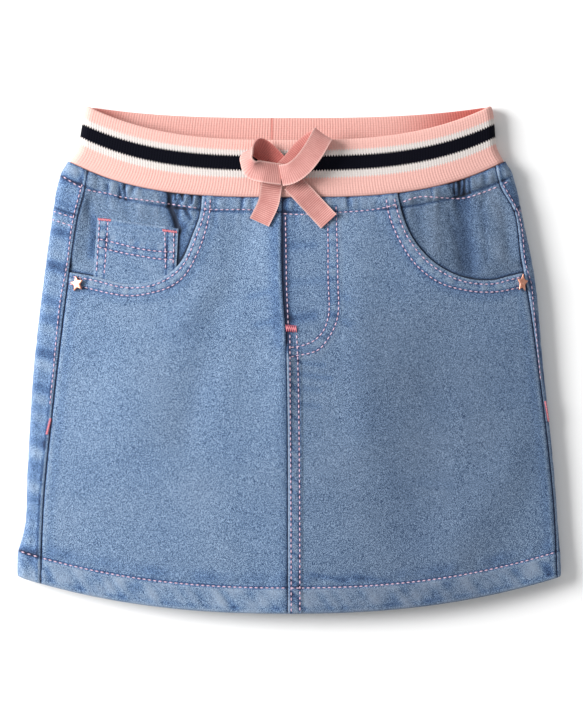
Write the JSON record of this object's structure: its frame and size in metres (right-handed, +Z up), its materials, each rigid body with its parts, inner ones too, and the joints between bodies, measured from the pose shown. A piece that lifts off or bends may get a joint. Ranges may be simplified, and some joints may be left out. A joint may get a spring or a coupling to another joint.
{
  "type": "denim skirt",
  "caption": "Child's denim skirt with a striped rib waistband, curved front pockets, a coin pocket, star rivets and a ribbon bow, lying flat on its back.",
  "frame": {"origin": "on the surface that the skirt lies on, under the middle of its outline", "axes": "+Z up from the surface, out of the skirt's front; +Y from the hem to the waist; +X to the right as seen from above"},
  "size_m": [0.3272, 0.3049, 0.0293],
  "materials": {
    "denim": "light blue washed denim twill, matt",
    "rib_knit": "pink cotton rib knit with white and navy stripes, matt",
    "ribbon": "dusty pink grosgrain ribbon, soft sheen",
    "rose_gold": "polished rose gold plate"
  },
  "bodies": {
    "root": {"waistband": "rib_knit", "front_left": "denim", "front_right": "denim", "back_left": "denim", "back_right": "denim", "yoke_left": "denim", "yoke_right": "denim", "pocket_facing_left": "denim", "pocket_facing_right": "denim", "coin_pocket": "denim", "bow_tail_left": "ribbon", "bow_tail_right": "ribbon", "bow_loop_left": "ribbon", "bow_loop_right": "ribbon", "star_rivet_left": "rose_gold", "star_rivet_right": "rose_gold"}
  },
  "joints": []
}
